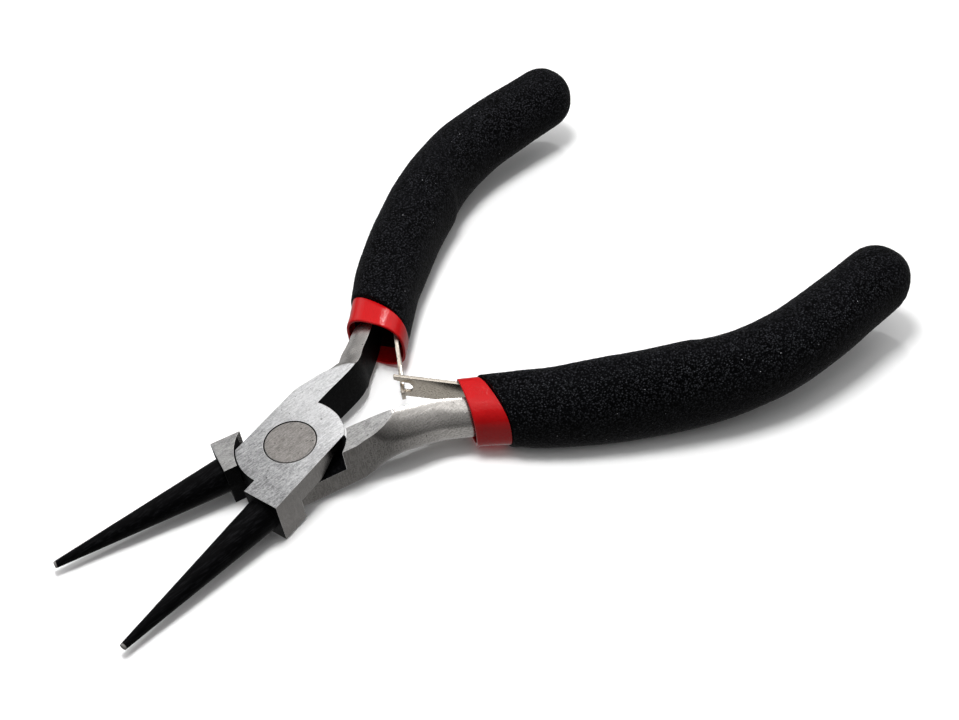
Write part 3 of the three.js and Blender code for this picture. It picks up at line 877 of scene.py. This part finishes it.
@once
def ground_steel_lower():
    return steel(
        "ground steel lower", dark=(0.16, 0.158, 0.156), light=(0.57, 0.563, 0.556), rough=(0.36, 0.52),
        streak=(0.9, 4.2, 3.0), depth=0.035,
    )


@once
def bar_steel_upper():
    return steel(
        "bar steel upper", dark=(0.50, 0.475, 0.455), light=(0.92, 0.885, 0.85), rough=(0.22, 0.36),
        streak=(1.0, 4.2, 5.0), depth=0.010, root_streak=(5.5, 5.5, 0.7), root_painted_shade=0.42,
    )


@once
def bar_steel_lower():
    return steel(
        "bar steel lower", dark=(0.34, 0.32, 0.30), light=(0.82, 0.785, 0.75), rough=(0.20, 0.34),
        streak=(1.0, 4.2, 5.0), depth=0.010, root_streak=(5.5, 5.5, 0.7), root_painted_shade=0.34,
    )


@once
def rivet_steel():
    return steel(
        "rivet steel", dark=(0.135, 0.125, 0.117), light=(0.44, 0.415, 0.395), rough=(0.34, 0.48),
        streak=(0.9, 6.5, 4), depth=0.035,
    )


@once
def spring_steel():
    return steel(
        "spring steel", dark=(0.50, 0.44, 0.37), light=(0.85, 0.78, 0.68), rough=(0.20, 0.34),
        streak=(3, 3, 6), depth=0.012, patch=0.9,
    )


def blackened(name, streak, rough, shine, bare_from=None):
    """Blackened steel. Its black is worn off further from the rivet than bare_from."""
    finish = Finish(name)
    marks = finish.noise(finish.stretched((0, 0, 0), streak), 1.0, 4.0, 0.6)
    grains = finish.noise(finish.place, 4.0, 4.0, 0.75)
    rubbed = finish.spread(marks, 0.0, 1.0, 0.50, 0.72)
    worn = finish.edges(0.10, 0.68, 0.93)
    colour = finish.blend(rubbed, (0.0010, 0.0010, 0.0012), (0.0085, 0.0086, 0.0096))
    colour = finish.blend(worn, colour, (0.05, 0.05, 0.052))
    if bare_from:
        reach = finish.add("ShaderNodeVectorMath", operation="LENGTH")
        finish.link(finish.place, reach.inputs[0])
        bare = finish.spread(reach.outputs["Value"], 0.0, 1.0, bare_from, bare_from + 0.1)
        colour = finish.blend(bare, colour, (0.22, 0.21, 0.20))
    finish.use(Base_Color=colour)
    finish.use(Roughness=finish.spread(grains, rough[0], rough[1], 0.3, 0.7))
    finish.set(Metallic=0.0, Specular_IOR_Level=shine)
    finish.bump(grains, 0.03, soft_edge=0.06)
    return finish.material


@once
def black_oxide():
    return blackened("black oxide", streak=(3, 3, 3), rough=(0.40, 0.6), shine=0.04)


@once
def jaw_black():
    return blackened(
        "black oxide jaw", streak=(0.5, 5, 5), rough=(0.32, 0.5), shine=0.035, bare_from=JAW_TIP_X - JAW_EDGE,
    )


# The bore is a darker red-black deeper in than RED_DEPTH.
@once
def deep_bore_dark():
    finish = Finish("deep bore dark")
    slow = finish.noise(finish.place, 1.5, 2.0)
    finish.use(Base_Color=finish.blend(slow, (0.010, 0.001, 0.001), (0.020, 0.002, 0.002)))
    finish.set(Roughness=0.8, Specular_IOR_Level=0.05)
    return finish.material


@once
def red_vinyl():
    finish = Finish("red vinyl")
    slow = finish.noise(finish.place, 0.7, 2.0)
    finish.use(Base_Color=finish.blend(slow, (0.38, 0.0025, 0.004), (0.47, 0.004, 0.0055)))
    finish.use(Roughness=finish.spread(slow, 0.13, 0.20))
    finish.set(Specular_IOR_Level=0.22)
    waves = finish.noise(finish.place, 0.55, 2.0)
    finish.bump(finish.sum(waves, finish.noise(finish.place, 3.0, 2.0)), 0.035)
    return finish.material


@once
def black_foam():
    finish = Finish("black foam")
    cells = finish.cells(3.4)
    pebbles = finish.spread(cells.outputs["Distance"], 1.0, 0.0, 0.08, 0.60)
    fine = finish.noise(finish.place, 5.0, 3.0, 0.7)
    shadow = finish.spread(fine, 1.0, 0.0, 0.38, 0.50)
    slow = finish.noise(finish.place, 0.22, 3.0)
    split = finish.add("ShaderNodeSeparateColor")
    finish.link(cells.outputs["Color"], split.inputs[0])
    bright = finish.spread(split.outputs[0], 0.0, 0.8, 0.50, 1.0)
    glint = finish.spread(split.outputs[1], 0.0, 1.0, 0.9955, 0.9960)
    speck = finish.spread(cells.outputs["Distance"], 1.0, 0.0, 0.12, 0.26)
    skin = finish.blend(pebbles, (0.0002, 0.0002, 0.0003), (0.036, 0.037, 0.042))
    skin = finish.blend(finish.spread(slow, 0, 0.3, 0.4, 0.7), skin, (0.0080, 0.0083, 0.0105))
    lit = finish.blend(pebbles, (0.0006, 0.0006, 0.0008), (0.085, 0.088, 0.100))
    skin = finish.blend(bright, skin, lit)
    skin = finish.blend(shadow, skin, (0.0010, 0.0010, 0.0013))
    shining = finish.blend(speck, skin, (0.75, 0.75, 0.78))
    finish.use(Base_Color=finish.blend(glint, skin, shining))
    finish.use(Roughness=finish.spread(fine, 0.36, 0.60, 0.3, 0.7))
    finish.set(Specular_IOR_Level=0.03)
    finish.bump(finish.sum(pebbles, finish.spread(fine, 0.0, 0.7)), 0.32, 1.0)
    return finish.material


@once
def pale_floor():
    finish = Finish("pale floor")
    slow = finish.noise(finish.place, 0.02, 2.0)
    finish.use(Base_Color=finish.blend(slow, (0.90, 0.90, 0.90), (0.92, 0.92, 0.92)))
    finish.set(Roughness=0.75, Specular_IOR_Level=0.15)
    return finish.material


# ---- Floor, light and camera ----

def floor_plane():
    """The height and slope of the floor, which touches the jaw roots and both foam grips."""
    front = JAW_ROOT_FRONT * math.cos(HALF_OPENING) * MM
    grip_low, grip_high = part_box("lower_foam_grip")
    back = lerp(grip_low[0], grip_high[0], GRIP_TOUCHES_AT)
    slope = -grip_low[2] / (front - back)
    return front, slope


def lay_floor():
    front, slope = floor_plane()
    half = FLOOR_SIZE / 2
    square = [(-half, -half), (half, -half), (half, half), (-half, half)]
    corners = [(x, y, (x - front) * slope - FLOOR_GAP * MM) for x, y in square]
    floor = add_object("floor", corners, [(0, 1, 2, 3)])
    floor.data.materials.append(pale_floor())
    floor.visible_diffuse = False
    floor.visible_glossy = False
    return Vector((-slope, 0, 1)).normalized()


def camera_axes():
    azimuth, elevation = CAMERA_AZIMUTH, CAMERA_ELEVATION
    back = Vector((
        math.cos(azimuth) * math.cos(elevation),
        math.sin(azimuth) * math.cos(elevation),
        math.sin(elevation),
    ))
    level = Vector((0, 0, 1)).cross(back).normalized()
    upright = back.cross(level)
    turn_cos, turn_sin = math.cos(CAMERA_ROLL), math.sin(CAMERA_ROLL)
    right = level * turn_cos + upright * turn_sin
    up = upright * turn_cos - level * turn_sin
    return right, up, back


def place_camera():
    right, up, back = camera_axes()
    data = bpy.data.cameras.new("camera")
    data.lens = CAMERA_LENS
    data.sensor_width = 36
    data.clip_start = 0.005
    camera = bpy.data.objects.new("camera", data)
    bpy.context.scene.collection.objects.link(camera)
    turn = Matrix((right, up, back)).transposed().to_4x4()
    camera.matrix_world = Matrix.Translation(CAMERA_AT * MM) @ turn
    bpy.context.scene.camera = camera


def area_light(name, place, target, size, power):
    data = bpy.data.lights.new(name, "AREA")
    data.shape = "RECTANGLE"
    data.size, data.size_y = size
    data.energy = power
    light = bpy.data.objects.new(name, data)
    bpy.context.scene.collection.objects.link(light)
    light.location = place
    light.rotation_euler = (Vector(place) - Vector(target)).to_track_quat("Z", "Y").to_euler()
    return light


def studio_light(up):
    """The key lights the tool from above without showing in the steel, which reflects the others."""
    right, _, back = camera_axes()
    level_back = (back - up * back.dot(up)).normalized()
    level_right = (right - up * right.dot(up)).normalized()
    for name, ((aside, behind, above), size, power) in LIGHTS.items():
        place = LIT_PLACE + level_right * aside - level_back * behind + up * above
        light = area_light(name, place, LIT_PLACE, size, power)
        light.visible_glossy = name != "key"


def studio_world():
    """White where the camera sees it, and graded where the tool reflects it.

    Its lower half stands in for the floor, and it is darker in the fixed direction that the photograph
    was taken from.
    """
    world = bpy.data.worlds.new("studio")
    bpy.context.scene.world = world
    world.use_nodes = True
    tree = world.node_tree
    background = tree.nodes["Background"]
    coordinates = tree.nodes.new("ShaderNodeTexCoord")
    split = tree.nodes.new("ShaderNodeSeparateXYZ")
    tree.links.new(coordinates.outputs["Generated"], split.inputs[0])
    ramp = tree.nodes.new("ShaderNodeValToRGB")
    stops = ramp.color_ramp.elements
    stops[-1].position = WORLD_LEVELS[-1][0]
    for place, _ in WORLD_LEVELS[1:-1]:
        stops.new(place)
    for stop, (_, level) in zip(stops, WORLD_LEVELS):
        stop.color = (level, level, level, 1)
    tree.links.new(map_range(tree, split.outputs["Z"], 0, 1, -1, 1), ramp.inputs["Fac"])
    tree.links.new(ramp.outputs["Color"], background.inputs["Color"])
    towards_photographer = tree.nodes.new("ShaderNodeVectorMath")
    towards_photographer.operation = "DOT_PRODUCT"
    towards_photographer.inputs[1].default_value = camera_axes()[2]
    tree.links.new(coordinates.outputs["Generated"], towards_photographer.inputs[0])
    strength = map_range(tree, towards_photographer.outputs["Value"], *WORLD_STRENGTH, *WORLD_FALL)
    tree.links.new(strength, background.inputs["Strength"])
    seen = tree.nodes.new("ShaderNodeBackground")
    seen.inputs["Color"].default_value = (1, 1, 1, 1)
    path = tree.nodes.new("ShaderNodeLightPath")
    mix = tree.nodes.new("ShaderNodeMixShader")
    tree.links.new(path.outputs["Is Camera Ray"], mix.inputs["Fac"])
    tree.links.new(background.outputs[0], mix.inputs[1])
    tree.links.new(seen.outputs[0], mix.inputs[2])
    tree.links.new(mix.outputs[0], tree.nodes["World Output"].inputs["Surface"])


# ---- Assembly ----

place_camera()
studio_light(lay_floor())
studio_world()
bpy.context.scene.view_settings.view_transform = "Standard"

for each_side, tip_outline in (("lower", fork_outline()), ("upper", hook_outline())):
    forged_half(each_side)
    sleeve(each_side)
    foam(each_side)
    leaf(each_side, tip_outline)
    cad_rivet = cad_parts[each_side + "_leaf_rivet"]
    cad_rivet.data.materials.clear()
    cad_rivet.data.materials.append(rivet_steel())
rivet()
